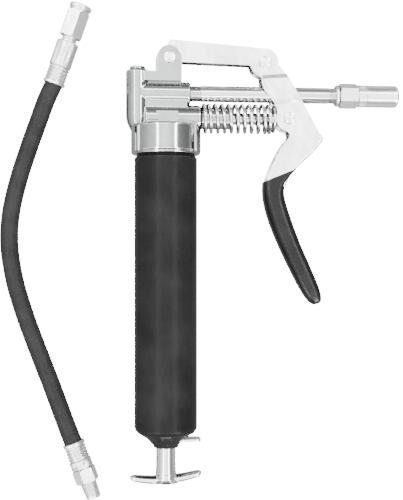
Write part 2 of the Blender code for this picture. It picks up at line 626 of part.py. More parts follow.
def hose_end(which, tip, before, lay):
    """Crimped ferrule and fitting, outwards from the hose's end."""
    out = (Vector(tip) - Vector(before)).normalized()
    out.z = 0
    turn = out.to_track_quat("Z", "Y").to_euler()

    def stand(piece):
        piece.rotation_euler = turn
        piece.parent = lay
        piece.location = (Vector(tip) - Vector(HOSE_ROUTE[0])) * MM
        return piece

    mouth, length = -9.0, 19.0 if which == "top" else 8.0
    waist = mouth + 10.5
    profile = [(4.0, length), (FERRULE_R, length), (FERRULE_R, waist + 2.4), (FERRULE_R - 0.9, waist),
               (FERRULE_R - 0.3, waist - 3.6), (FERRULE_R - 0.9, waist - 6.4), (FERRULE_R, mouth),
               (HOSE_R + GAP, mouth), (HOSE_R + GAP, GAP), (4.0, GAP)]
    stand(turned(f"hose_ferrule_{which}", profile, "plated_steel", 24, ring=True))
    if which == "top":
        stand(tube("hose_neck", 5.0, 1.8, length + GAP, length + 6.5, "plated_steel", 24))
        low = length + 3.5
        nut = stand(hexagon("hose_nut", 7.8, low, low + 17.0, "plated_steel"))
        add(nut, stand(rod("nut_collar", 6.9, low + 12, low + 21.5, steps=24)))
        bore = [(0, low + 30), (4.3, low + 30), (4.3, low + 10.5), (1.8, low + 9), (1.8, low + 3.4),
                (5.0 + GAP, low + 3.4), (5.0 + GAP, low - 5), (0, low - 5)]
        cut(nut, stand(turned("nut_bore_through", bore)))
    else:
        body = stand(hexagon("hose_male_end", 7.6, length + GAP, length + 9.5, "plated_steel"))
        end = length + 20.4
        thread = [(0, end), (4.5, end), (5.1, end - 0.8), (5.3, length + 5), (0, length + 5)]
        add(body, stand(turned("male_thread", thread, steps=24)))
        cut(body, stand(rod("male_passage", 1.8, length - 5, length + 30, steps=16)))


def build():
    for obj in list(bpy.data.objects):
        bpy.data.objects.remove(obj, do_unlink=True)
    gun = empty("gun_frame", (GUN_X, GUN_Y, SKIRT_BEAD_R))
    gun.rotation_euler = (0, TILT, 0)
    head(gun)
    barrel(gun)
    barrel_gasket(gun)
    valve(gun)
    extension_pipe(gun)
    coupler(gun)
    coupler_sleeve(gun)
    plunger(gun)
    packing(gun)
    rivet("head_pin", EAR_OUTER, HEAD_PIN, gun)
    link(gun)
    lever(gun)
    follower(gun)
    follower_rod(gun)
    latch(gun)
    hose_line()


build()
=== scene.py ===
import json
from math import atan2, cos, exp, pi, radians, sin, sqrt

import bmesh
import bpy
from mathutils import Matrix, Vector


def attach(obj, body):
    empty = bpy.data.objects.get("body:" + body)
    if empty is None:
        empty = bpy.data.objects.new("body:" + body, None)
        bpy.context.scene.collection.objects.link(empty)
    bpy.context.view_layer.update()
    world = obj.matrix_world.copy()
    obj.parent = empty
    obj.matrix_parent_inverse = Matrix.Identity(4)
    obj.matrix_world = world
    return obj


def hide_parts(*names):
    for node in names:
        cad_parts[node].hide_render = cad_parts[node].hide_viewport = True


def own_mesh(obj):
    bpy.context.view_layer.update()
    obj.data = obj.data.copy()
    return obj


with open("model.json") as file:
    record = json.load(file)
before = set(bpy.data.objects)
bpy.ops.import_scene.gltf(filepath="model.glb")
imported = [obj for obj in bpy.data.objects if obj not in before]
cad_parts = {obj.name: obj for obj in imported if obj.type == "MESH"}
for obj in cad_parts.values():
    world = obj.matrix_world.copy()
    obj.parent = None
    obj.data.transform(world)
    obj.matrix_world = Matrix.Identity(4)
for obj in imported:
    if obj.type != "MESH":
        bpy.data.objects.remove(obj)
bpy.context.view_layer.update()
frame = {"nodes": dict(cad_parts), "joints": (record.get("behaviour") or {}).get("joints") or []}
mm = 0.001
joints = {joint["name"]: joint for joint in frame["joints"]}

# the gun's own directions: u along the pipe, v up the barrel, w out of the lever's side
uDir = -Vector(joints["plunger_slide"]["axis"])
vDir = Vector(joints["rod_turn"]["axis"])
wDir = Vector(joints["lever_turn"]["axis"])
gunOrigin = Vector(joints["rod_turn"]["pos_m"]) + vDir * 10 * mm
gunTurn = Matrix((uDir, vDir, wDir)).transposed().to_4x4()
gunPlace = Matrix.Translation(gunOrigin) @ gunTurn @ Matrix.Scale(mm, 4)

# how a piece made along Z is stood along one of the gun's directions
along = {
    "u": Matrix.Rotation(pi / 2, 4, "Y"),
    "v": Matrix.Rotation(-pi / 2, 4, "X"),
    "w": Matrix.Identity(4),
}


# modelling helpers

def dropAll():
    if bpy.context.object and bpy.context.object.mode != "OBJECT":
        bpy.ops.object.mode_set(mode="OBJECT")
    bpy.ops.object.select_all(action="DESELECT")


def pick(piece):
    dropAll()
    piece.select_set(True)
    bpy.context.view_layer.objects.active = piece


def edit(piece, mode="VERT"):
    pick(piece)
    bpy.ops.object.mode_set(mode="EDIT")
    bpy.ops.mesh.select_mode(type=mode)
    bpy.ops.mesh.select_all(action="SELECT")


def closeMesh(piece, ends):
    edit(piece)
    bpy.ops.mesh.select_all(action="DESELECT")
    bpy.ops.mesh.select_non_manifold()
    if ends == "fill":
        bpy.ops.mesh.fill_holes(sides=0)
    else:
        bpy.ops.mesh.bridge_edge_loops()
    bpy.ops.mesh.select_all(action="SELECT")
    bpy.ops.mesh.normals_make_consistent(inside=False)
    bpy.ops.object.mode_set(mode="OBJECT")


def skin(name, rings, ends="fill"):
    # a circle is extruded once for each further ring, then each ring's corners go to their places
    count = len(rings[0])
    dropAll()
    bpy.ops.mesh.primitive_circle_add(vertices=count, radius=1, location=(0, 0, 0))
    piece = bpy.context.object
    piece.name = name
    edit(piece, "EDGE")
    for _ in rings[1:]:
        bpy.ops.mesh.extrude_edges_move(TRANSFORM_OT_translate={"value": (0, 0, 1)})
    bpy.ops.object.mode_set(mode="OBJECT")
    for vert in piece.data.vertices:
        turn = round((atan2(vert.co.y, vert.co.x) / (2 * pi) - 0.25) * count) % count
        vert.co = rings[round(vert.co.z)][turn]
    closeMesh(piece, ends)
    return piece


def turned(name, profile, sides=64, ends="fill", start=0.0):
    # profile is (radius, height), along Z
    steps = [start + 2 * pi * k / sides for k in range(sides)]
    rings = [[(r * cos(a), r * sin(a), h) for a in steps] for r, h in profile]
    return skin(name, rings, ends)


def slab(name, outline, low, high):
    # a flat outline pulled up from low to high
    rings = [[(x, y, z) for x, y in outline] for z in (low, high)]
    return skin(name, rings)


def brick(name, low, high):
    return slab(name, [(low[0], low[1]), (high[0], low[1]), (high[0], high[1]), (low[0], high[1])],
                low[2], high[2])


def arc(centre, radius, first, last, steps):
    turns = [radians(first + (last - first) * k / steps) for k in range(steps + 1)]
    return [(centre[0] + radius * cos(a), centre[1] + radius * sin(a)) for a in turns]


def stand(piece, way, at=(0, 0, 0)):
    piece.data.transform(Matrix.Translation(at) @ along[way])
    return piece


def applyLast(piece):
    pick(piece)
    bpy.ops.object.modifier_apply(modifier=piece.modifiers[-1].name)


def weld(piece, others, kind="UNION"):
    # joins or cuts with whole shapes, which are then removed
    for other in others:
        bond = piece.modifiers.new("bond", "BOOLEAN")
        bond.operation = kind
        bond.solver = "EXACT"
        bond.object = other
        applyLast(piece)
        bpy.data.objects.remove(other)
    return piece


def cut(piece, *others):
    return weld(piece, others, "DIFFERENCE")


def soften(piece, width, segments=3, angle=30):
    bevel = piece.modifiers.new("edges", "BEVEL")
    bevel.width = width
    bevel.segments = segments
    bevel.limit_method = "ANGLE"
    bevel.angle_limit = radians(angle)
    applyLast(piece)
    return piece


def castTogether(piece, others, grain, rounds):
    # loose shapes melted into one casting with soft inner and outer corners
    dropAll()
    for other in others:
        other.select_set(True)
    piece.select_set(True)
    bpy.context.view_layer.objects.active = piece
    bpy.ops.object.join()
    melt = piece.modifiers.new("melt", "REMESH")
    melt.mode = "VOXEL"
    melt.voxel_size = grain
    applyLast(piece)
    ease = piece.modifiers.new("ease", "SMOOTH")
    ease.factor = 0.5
    ease.iterations = rounds
    applyLast(piece)
    return piece


def wire(name, points, radius, sides=3):
    # a round bar that follows points
    line = bpy.data.curves.new(name, "CURVE")
    line.dimensions = "3D"
    line.bevel_depth = radius
    line.bevel_resolution = sides
    line.use_fill_caps = True
    path = line.splines.new("POLY")
    path.points.add(len(points) - 1)
    for spot, place in zip(path.points, points):
        spot.co = (*place, 1)
    piece = bpy.data.objects.new(name, line)
    bpy.context.collection.objects.link(piece)
    pick(piece)
    bpy.ops.object.convert(target="MESH")
    piece = bpy.context.object
    edit(piece)
    bpy.ops.mesh.remove_doubles(threshold=1e-6)
    bpy.ops.mesh.normals_make_consistent(inside=False)
    bpy.ops.object.mode_set(mode="OBJECT")
    return piece


def settle(piece, material, slotName, body, *nodes, place=gunPlace, crease=32):
    # puts a finished piece in the object, on its body, in place of its CAD nodes
    piece.data.transform(place)
    edit(piece)
    bpy.ops.mesh.remove_doubles(threshold=2e-6)
    bpy.ops.mesh.normals_make_consistent(inside=False)
    bpy.ops.object.mode_set(mode="OBJECT")
    piece.data.materials.clear()
    piece.data.materials.append(material)
    pick(piece)
    bpy.ops.object.shade_smooth_by_angle(angle=radians(crease))
    even = piece.modifiers.new("even", "WEIGHTED_NORMAL")
    even.keep_sharp = True
    even.weight = 100
    applyLast(piece)
    if nodes:
        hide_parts(*nodes)
    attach(piece, body)
    return piece


# finishes

def newGroup(name, ins, outs):
    group = bpy.data.node_groups.new(name, "ShaderNodeTree")
    for label, kind, value in ins:
        socket = group.interface.new_socket(name=label, in_out="INPUT", socket_type=kind)
        if value is not None:
            socket.default_value = value
    for label, kind in outs:
        group.interface.new_socket(name=label, in_out="OUTPUT", socket_type=kind)
    nodes, links = group.nodes, group.links
    return group, nodes, links, nodes.new("NodeGroupInput"), nodes.new("NodeGroupOutput")


def scaledNoise(nodes, links, coords, scale, detail, rough=0.5):
    noise = nodes.new("ShaderNodeTexNoise")
    noise.inputs["Detail"].default_value = detail
    noise.inputs["Roughness"].default_value = rough
    links.new(coords, noise.inputs["Vector"])
    links.new(scale, noise.inputs["Scale"])
    return noise.outputs["Fac"]


def spread(nodes, links, value, low, high, outLow, outHigh):
    span = nodes.new("ShaderNodeMapRange")
    for label, number in zip(("From Min", "From Max", "To Min", "To Max"), (low, high, outLow, outHigh)):
        span.inputs[label].default_value = number
    links.new(value, span.inputs["Value"])
    return span.outputs["Result"]


def grainGroup():
    # fine surface grain, drawn out along the stretch direction
    group, nodes, links, start, end = newGroup(
        "fineGrain",
        [("Stretch", "NodeSocketVector", (1, 1, 1)), ("Scale", "NodeSocketFloat", 1500.0)],
        [("Height", "NodeSocketFloat"), ("Mask", "NodeSocketFloat")])
    coords = nodes.new("ShaderNodeTexCoord")
    stretch = nodes.new("ShaderNodeVectorMath")
    stretch.operation = "MULTIPLY"
    links.new(coords.outputs["Object"], stretch.inputs[0])
    links.new(start.outputs["Stretch"], stretch.inputs[1])
    height = scaledNoise(nodes, links, stretch.outputs["Vector"], start.outputs["Scale"], 4, 0.6)
    links.new(height, end.inputs["Height"])
    links.new(spread(nodes, links, height, 0.35, 0.68, 0, 1), end.inputs["Mask"])
    return group


def cloudGroup():
    # slow change over the piece, as handling and plating leave
    group, nodes, links, start, end = newGroup(
        "softCloud", [("Scale", "NodeSocketFloat", 60.0)], [("Mask", "NodeSocketFloat")])
    coords = nodes.new("ShaderNodeTexCoord")
    cloud = scaledNoise(nodes, links, coords.outputs["Object"], start.outputs["Scale"], 3, 0.55)
    links.new(spread(nodes, links, cloud, 0.38, 0.66, 0, 1), end.inputs["Mask"])
    return group


def edgeGroup():
    # rubbed edges, broken up by noise
    group, nodes, links, start, end = newGroup(
        "rubbedEdges", [("Scale", "NodeSocketFloat", 400.0)], [("Mask", "NodeSocketFloat")])
    coords = nodes.new("ShaderNodeTexCoord")
    shape = nodes.new("ShaderNodeNewGeometry")
    edge = spread(nodes, links, shape.outputs["Pointiness"], 0.52, 0.6, 0, 1)
    breakUp = scaledNoise(nodes, links, coords.outputs["Object"], start.outputs["Scale"], 3)
    broken = nodes.new("ShaderNodeMath")
    broken.operation = "MULTIPLY"
    links.new(edge, broken.inputs[0])
    links.new(spread(nodes, links, breakUp, 0.35, 0.6, 0, 1), broken.inputs[1])
    links.new(broken.outputs["Value"], end.inputs["Mask"])
    return group


sharedGrain, sharedCloud, sharedEdges = grainGroup(), cloudGroup(), edgeGroup()


def blendColour(nodes, links, mask, first, second):
    mix = nodes.new("ShaderNodeMix")
    mix.data_type = "RGBA"
    links.new(mask, mix.inputs["Factor"])
    for socket, value in ((mix.inputs["A"], first), (mix.inputs["B"], second)):
        if isinstance(value, bpy.types.NodeSocket):
            links.new(value, socket)
        else:
            socket.default_value = (*value, 1)
    return mix.outputs["Result"]


def useGroup(nodes, group, **values):
    node = nodes.new("ShaderNodeGroup")
    node.node_tree = group
    for label, value in values.items():
        node.inputs[label].default_value = value
    return node


def finish(name, colour, cloudy, edge, metallic, rough, grain, stretch=(1, 1, 1), bump=0.1, depth=0.00002,
           cloudSize=60.0, edgeSize=400.0, specular=0.5, wave=0.0):
    # colour, its cloudy and its rubbed-edge shade; rough is (low, high)
    material = bpy.data.materials.new(name)
    material.use_nodes = True
    nodes, links = material.node_tree.nodes, material.node_tree.links
    shader = nodes["Principled BSDF"]
    shader.inputs["Metallic"].default_value = metallic
    shader.inputs["Specular IOR Level"].default_value = specular
    fine = useGroup(nodes, sharedGrain, Stretch=stretch, Scale=grain)
    cloud = useGroup(nodes, sharedCloud, Scale=cloudSize)
    edges = useGroup(nodes, sharedEdges, Scale=edgeSize)
    body = blendColour(nodes, links, cloud.outputs["Mask"], colour, cloudy)
    links.new(blendColour(nodes, links, edges.outputs["Mask"], body, edge), shader.inputs["Base Color"])
    mixed = nodes.new("ShaderNodeMath")
    mixed.operation = "MULTIPLY_ADD"
    mixed.inputs[1].default_value = 0.5
    links.new(fine.outputs["Mask"], mixed.inputs[0])
    links.new(spread(nodes, links, cloud.outputs["Mask"], 0, 1, 0, 0.5), mixed.inputs[2])
    links.new(spread(nodes, links, mixed.outputs["Value"], 0, 1, *rough), shader.inputs["Roughness"])
    relief = nodes.new("ShaderNodeBump")
    relief.inputs["Strength"].default_value = bump
    relief.inputs["Distance"].default_value = depth
    links.new(fine.outputs["Height"], relief.inputs["Height"])
    if wave:
        # rolled sheet is never quite flat
        bow = nodes.new("ShaderNodeBump")
        bow.inputs["Distance"].default_value = wave
        links.new(cloud.outputs["Mask"], bow.inputs["Height"])
        links.new(bow.outputs["Normal"], relief.inputs["Normal"])
    links.new(relief.outputs["Normal"], shader.inputs["Normal"])
    return material


castZinc = finish("castZinc", (0.31, 0.32, 0.32), (0.26, 0.27, 0.27), (0.46, 0.47, 0.47), 1.0, (0.07, 0.14),
                  900.0, bump=0.25, depth=0.00006, cloudSize=110.0)
brightPlate = finish("brightPlate", (0.83, 0.83, 0.83), (0.75, 0.755, 0.76), (0.92, 0.92, 0.92), 1.0,
                     (0.14, 0.26), 2200.0, (0.25, 1, 1), 0.12, 0.00002, 45.0)
polishedPlate = finish("polishedPlate", (0.97, 0.97, 0.97), (0.93, 0.93, 0.935), (0.98, 0.98, 0.98), 1.0,
                       (0.1, 0.18), 2200.0, (0.25, 1, 1), 0.08, 0.00001, 24.0, wave=0.0012)
chromePlate = finish("chromePlate", (0.6, 0.605, 0.612), (0.52, 0.525, 0.535), (0.9, 0.9, 0.9), 1.0,
                     (0.07, 0.16), 3000.0, (0.08, 1, 1), 0.08, 0.00001, 70.0)
rodChrome = finish("rodChrome", (0.6, 0.603, 0.607), (0.52, 0.525, 0.53), (0.9, 0.9, 0.9), 1.0,
                   (0.1, 0.2), 3000.0, (1, 0.08, 1), 0.08, 0.00001, 70.0)
nickelFitting = finish("nickelFitting", (0.6, 0.605, 0.6), (0.5, 0.505, 0.5), (0.75, 0.75, 0.75), 1.0,
                       (0.3, 0.46), 1600.0, bump=0.3, depth=0.00005, cloudSize=160.0)
springWire = finish("springWire", (0.44, 0.437, 0.428), (0.34, 0.337, 0.328), (0.85, 0.85, 0.84), 1.0,
                    (0.12, 0.24), 2500.0, bump=0.1, cloudSize=120.0)
blackEnamel = finish("blackEnamel", (0.004, 0.004, 0.0042), (0.0068, 0.0066, 0.0068), (0.02, 0.02, 0.02),
                     0.0, (0.3, 0.4), 1300.0, bump=0.12, depth=0.00003, cloudSize=40.0, specular=0.035)
hoseRubber = finish("hoseRubber", (0.006, 0.006, 0.0063), (0.009, 0.009, 0.0093), (0.02, 0.02, 0.02), 0.0,
                    (0.42, 0.58), 2600.0, bump=0.3, depth=0.00004, cloudSize=80.0, specular=0.05)
dippedVinyl = finish("dippedVinyl", (0.002, 0.002, 0.0022), (0.003, 0.003, 0.0032), (0.01, 0.01, 0.01), 0.0,
                     (0.26, 0.36), 1000.0, bump=0.14, depth=0.00003, cloudSize=70.0, specular=0.12)
innerRubber = finish("innerRubber", (0.02, 0.02, 0.021), (0.03, 0.03, 0.03), (0.05, 0.05, 0.05), 0.0,
                     (0.5, 0.65), 1800.0, bump=0.2)


# camera, light and floor

viewSet = {"centre": (-0.0387, 0.0074), "height": 0.633, "lens": 71.1}
camera = bpy.data.cameras.new("camera")
camera.lens = viewSet["lens"]
camera.clip_start = 0.02
camera.clip_end = 20
cameraSpot = bpy.data.objects.new("camera", camera)
cameraSpot.location = (*viewSet["centre"], viewSet["height"])
bpy.context.collection.objects.link(cameraSpot)
bpy.context.scene.camera = cameraSpot


softboxSet = {
    "overhead": {"at": (-0.35, 0.35, 1.1), "size": (0.5, 1.1), "power": 12},
    "rightFill": {"at": (0.8, -0.1, 0.7), "size": (0.35, 1.0), "power": 4},
}
softboxAim = Vector((-0.03, 0, 0))
floorSet = {"size": 6, "depth": 0.0005, "grey": 0.1, "rough": 0.9}


def softbox(name, at, size, power):
    light = bpy.data.lights.new(name, "AREA")
    light.shape = "RECTANGLE"
    light.size, light.size_y = size
    light.energy = power
    lamp = bpy.data.objects.new(name, light)
    lamp.location = at
    lamp.visible_glossy = False  # the sky alone gives the reflections
    lamp.rotation_euler = (softboxAim - Vector(at)).to_track_quat("-Z", "Y").to_euler()
    bpy.context.collection.objects.link(lamp)


def skyRamp(nodes, links, value, stops):
    # brightness against one direction of the sky, from -1 to 1
    place = spread(nodes, links, value, -1, 1, 0, 1)
    ramp = nodes.new("ShaderNodeValToRGB")
    links.new(place, ramp.inputs["Fac"])
    for _ in stops[2:]:
        ramp.color_ramp.elements.new(0.5)
    for element, (at, level) in zip(ramp.color_ramp.elements, stops):
        element.position = (at + 1) / 2
        element.color = (level, level, level, 1)
    return ramp.outputs["Color"]


skySet = {
    # (direction, brightness): two bright bands each way, darker towards the rims
    "across": [(-1, 0.08), (-0.8, 0.16), (-0.55, 0.2), (-0.49, 0.22), (-0.46, 2.3), (-0.41, 2.3),
               (-0.38, 0.28), (-0.1, 0.35), (0.1, 0.35), (0.3, 0.26), (0.53, 0.2), (0.56, 2.3),
               (0.61, 2.3), (0.65, 0.07), (0.88, 0.04), (1, 0.03)],
    "upward": [(-1, 0.1), (-0.85, 0.14), (-0.75, 0.4), (-0.71, 4.2), (-0.66, 4.2), (-0.62, 0.56),
               (-0.3, 0.8), (0.0, 0.88), (0.25, 0.78), (0.44, 0.56), (0.47, 4.2), (0.52, 4.2),
               (0.56, 0.36), (0.72, 0.2), (0.86, 0.1), (1, 0.06)],
    "strength": 20.0,
    "wall": 18.0,
}


def seenOnly(tree, hidden, seen, output):
    # the camera sees one shader, and all other light meets the other
    nodes, links = tree.nodes, tree.links
    sight = nodes.new("ShaderNodeLightPath")
    either = nodes.new("ShaderNodeMixShader")
    links.new(sight.outputs["Is Camera Ray"], either.inputs["Fac"])
    links.new(hidden, either.inputs[1])
    links.new(seen, either.inputs[2])
    links.new(either.outputs["Shader"], nodes[output].inputs["Surface"])


def studioSky():
    # bands that show in the metal only, with a plain wall behind the floor
    world = bpy.data.worlds.new("studio")
    bpy.context.scene.world = world
    world.use_nodes = True
    nodes, links = world.node_tree.nodes, world.node_tree.links
    coords = nodes.new("ShaderNodeTexCoord")
    split = nodes.new("ShaderNodeSeparateXYZ")
    links.new(coords.outputs["Generated"], split.inputs["Vector"])
    both = nodes.new("ShaderNodeMix")
    both.data_type = "RGBA"
    both.blend_type = "MULTIPLY"
    both.inputs["Factor"].default_value = 1
    links.new(skyRamp(nodes, links, split.outputs["X"], skySet["across"]), both.inputs["A"])
    links.new(skyRamp(nodes, links, split.outputs["Y"], skySet["upward"]), both.inputs["B"])
    bands = nodes["Background"]
    bands.inputs["Strength"].default_value = skySet["strength"]
    links.new(both.outputs["Result"], bands.inputs["Color"])
    wall = nodes.new("ShaderNodeBackground")
    wall.inputs["Strength"].default_value = skySet["wall"]
    seenOnly(world.node_tree, bands.outputs["Background"], wall.outputs["Background"], "World Output")


def studioFloor():
    # white to look at, and sends little light up
    dropAll()
    bpy.ops.mesh.primitive_plane_add(size=floorSet["size"], location=(0, 0, -floorSet["depth"]))
    floor = bpy.context.object
    floor.name = "studioFloor"
    paper = bpy.data.materials.new("paleFloor")
    paper.use_nodes = True
    nodes = paper.node_tree.nodes
    shader = nodes["Principled BSDF"]
    shader.inputs["Base Color"].default_value = (*[floorSet["grey"]] * 3, 1)
    shader.inputs["Roughness"].default_value = floorSet["rough"]
    white = nodes.new("ShaderNodeEmission")
    white.inputs["Strength"].default_value = skySet["wall"]
    seenOnly(paper.node_tree, shader.outputs["BSDF"], white.outputs["Emission"], "Material Output")
    floor.data.materials.append(paper)


studioSky()
for name, values in softboxSet.items():
    softbox(name, **values)
studioFloor()
print("stage: camera, light and floor")


# whip hose

hoseSet = {
    "radius": 5.8,
    "ferrule": 7.1,
    "mouth": -9.0,
    "topFerrule": 19.0,
    "lowFerrule": 8.0,
    "waist": 10.5,
    "ridgeStep": 2.1,
    "nutCorner": 7.8,
    "nutLength": 17.0,
    "threadTurns": 10,
}


def easedLine(points, count):
    # evenly spaced spots on a Catmull-Rom curve
    pts = [Vector(p) for p in points]
    pts = [2 * pts[0] - pts[1]] + pts + [2 * pts[-1] - pts[-2]]
    spans = len(pts) - 3
    spots = []
    for k in range(count):
        t = k / (count - 1) * spans
        s = min(int(t), spans - 1)
        f = t - s
        p0, p1, p2, p3 = pts[s:s + 4]
        spots.append(0.5 * (2 * p1 + (p2 - p0) * f + (2 * p0 - 5 * p1 + 4 * p2 - p3) * f * f
                            + (3 * p1 - p0 - 3 * p2 + p3) * f ** 3))
    return spots


hoseRoute = [
    (-0.1294, 0.1208, 0.0079), (-0.1324, 0.1123, 0.0079), (-0.1355, 0.1059, 0.0075),
    (-0.1385, 0.0989, 0.0069), (-0.1423, 0.0887, 0.0063), (-0.1461, 0.0786, 0.0060),
    (-0.1496, 0.0684, 0.0059), (-0.1530, 0.0582, 0.0059), (-0.1559, 0.0481, 0.0059),
    (-0.1584, 0.0379, 0.0059), (-0.1601, 0.0277, 0.0059), (-0.1608, 0.0176, 0.0059),
    (-0.1605, 0.0074, 0.0059), (-0.1591, -0.0028, 0.0059), (-0.1571, -0.0129, 0.0059),
    (-0.1543, -0.0231, 0.0059), (-0.1510, -0.0333, 0.0059), (-0.1474, -0.0434, 0.0059),
    (-0.1435, -0.0536, 0.0059), (-0.1396, -0.0638, 0.0059), (-0.1356, -0.0739, 0.0060),
    (-0.1317, -0.0841, 0.0063), (-0.1278, -0.0943, 0.0069), (-0.1239, -0.1044, 0.0075),
    (-0.1199, -0.1143, 0.0079), (-0.1167, -0.1228, 0.0079),
]


def hexPrism(name, corner, low, high, chamfer=1.0, start=pi / 2):
    # the corners of a hexagon taken off by a cone at both ends
    bar = turned(name, [(corner, low), (corner, high)], 6, start=start)
    cone = turned("cone", [(corner - chamfer, low - 0.01), (corner + 0.3, low + 0.75 * chamfer),
                           (corner + 0.3, high - 0.75 * chamfer), (corner - chamfer, high + 0.01)], 72)
    return weld(bar, [cone], "INTERSECT")


def crimp(piece, low, high, radius, bite, count):
    # the crimping tool's flats pressed in a ring
    for vert in piece.data.vertices:
        away = sqrt(vert.co.x ** 2 + vert.co.y ** 2)
        if away < radius - 1.2 or not low < vert.co.z < high:
            continue
        turn = atan2(vert.co.y, vert.co.x)
        fade = sin(pi * (vert.co.z - low) / (high - low)) ** 0.5
        press = 1 - bite / radius * fade * (0.5 + 0.5 * cos(count * turn)) ** 2
        vert.co.x *= press
        vert.co.y *= press


def hoseNeck(low):
    return turned("hoseNeck", [(5.0, low + 0.3), (5.0, low + 1.2), (4.6, low + 1.6), (4.6, low + 2.6),
                               (5.0, low + 3.0), (5.0, low + 6.5), (1.8, low + 6.5), (1.8, low + 0.3)],
                  48, "loop")


def hoseNut(low):
    high = low + hoseSet["nutLength"]
    nut = hexPrism("hoseNut", hoseSet["nutCorner"], low, high, 1.1, start=pi / 2 + 0.28)
    collar = turned("collar", [(6.7, high - 5), (6.7, high + 0.6), (6.2, high + 0.9), (6.2, high + 1.6),
                               (7.1, high + 1.8), (7.1, high + 3.9), (6.4, high + 4.5)], 64)
    weld(nut, [collar])
    bore = turned("bore", [(5.3, low - 5), (5.3, low + 3.4), (1.8, low + 3.4), (1.8, low + 9),
                           (4.3, low + 10.5), (4.3, low + 30)], 48)
    return soften(cut(nut, bore), 0.22, 2, 40)


def hoseMaleEnd(low):
    body = hexPrism("hoseMaleEnd", 7.6, low + 0.3, low + 9.5, 1.1, start=pi / 2 + 0.2)
    profile = [(4.9, low + 5)]
    for k in range(hoseSet["threadTurns"]):
        high, radius = low + 9.9 + 0.93 * k, 5.25 - 0.05 * k
        profile += [(radius - 0.42, high), (radius, high + 0.45)]
    weld(body, [turned("thread", profile + [(4.4, low + 20.4)], 64)])
    cut(body, turned("passage", [(1.8, low - 5), (1.8, low + 30)], 32))
    return soften(body, 0.15, 1, 50)


def hoseEnd(tip, before, which):
    out = Vector(tip) - Vector(before)
    out.z = 0
    place = (Matrix.Translation(Vector(tip)) @ out.to_track_quat("Z", "Y").to_matrix().to_4x4()
             @ Matrix.Scale(mm, 4))
    mouth, outer = hoseSet["mouth"], hoseSet["ferrule"]
    length = hoseSet[which + "Ferrule"]
    waist = mouth + hoseSet["waist"]
    profile = [(hoseSet["radius"] + 0.3, mouth + 0.3), (outer - 0.3, mouth), (outer, mouth + 0.4),
               (outer, mouth + 1.6), (outer - 0.25, mouth + 2.1)]
    ridge = mouth + 2.6
    while ridge < waist - 1.4:
        profile += [(outer - 0.85, ridge), (outer - 0.95, ridge + 0.5), (outer - 0.3, ridge + 1.1),
                    (outer - 0.25, ridge + 1.6)]
        ridge += hoseSet["ridgeStep"]
    profile += [(outer - 0.95, waist - 0.3), (outer - 0.95, waist + 0.6), (outer - 0.1, waist + 1.5),
                (outer, waist + 2.0)]
    steps = 14
    profile += [(outer, waist + 2.0 + (length - waist - 2.6) * k / steps) for k in range(1, steps + 1)]
    profile += [(outer - 0.5, length), (4.0, length), (4.0, 0.3), (hoseSet["radius"] + 0.3, 0.3)]
    sleeve = turned("hoseFerrule" + which.title(), profile, 72, "loop")
    crimp(sleeve, mouth + 2.2, waist - 0.6, outer, 0.45, 8)
    crimp(sleeve, waist + 1.8, length - 0.4, outer, 0.5, 6)
    pieces = {"hose_ferrule_" + which: sleeve}
    if which == "top":
        pieces["hose_neck"] = hoseNeck(length)
        pieces["hose_nut"] = hoseNut(length + 3.5)
    else:
        pieces["hose_male_end"] = hoseMaleEnd(length)
    return [settle(piece, nickelFitting, "plated_steel", "hose_line", node, place=place)
            for node, piece in pieces.items()]


def whipHose():
    route = easedLine(hoseRoute, 200)
    hose = wire("whipHose", route, hoseSet["radius"] * mm, 8)
    settle(hose, hoseRubber, "black_rubber", "hose_line", "hose", place=Matrix.Identity(4))
    ends = hoseEnd(hoseRoute[0], hoseRoute[1], "top") + hoseEnd(hoseRoute[-1], hoseRoute[-2], "low")


whipHose()
print("stage: whip hose")


# pump head

headSet = {
    "columnU": -17.5, "pipeV": 38.2, "plungerV": 22.9, "pin": (1.7, 59.3),
    "earIn": 4.9, "earOut": 8.2, "earRadius": 7.7, "footU": -14.3, "footLow": 45.0, "footHigh": 51.0,
    "grain": 0.4, "rounds": 7,
}
pinBore = 2.3


def pinHole(at, reach):
    return stand(turned("pinHole", [(pinBore, -reach), (pinBore, reach)], 32), "w", (*at, 0))


def seam(name, u):
    # the narrow step where a lug meets the skirt
    groove = slab(name, [(u - 0.35, 12.5), (u + 0.35, 12.5), (u + 0.35, 1.6), (u - 0.35, 1.6)], 2, 22)
    depth = sqrt(20.1 ** 2 - u ** 2)
    for vert in groove.data.vertices:
        vert.co.z = depth if vert.co.z < 10 else 22
    return groove


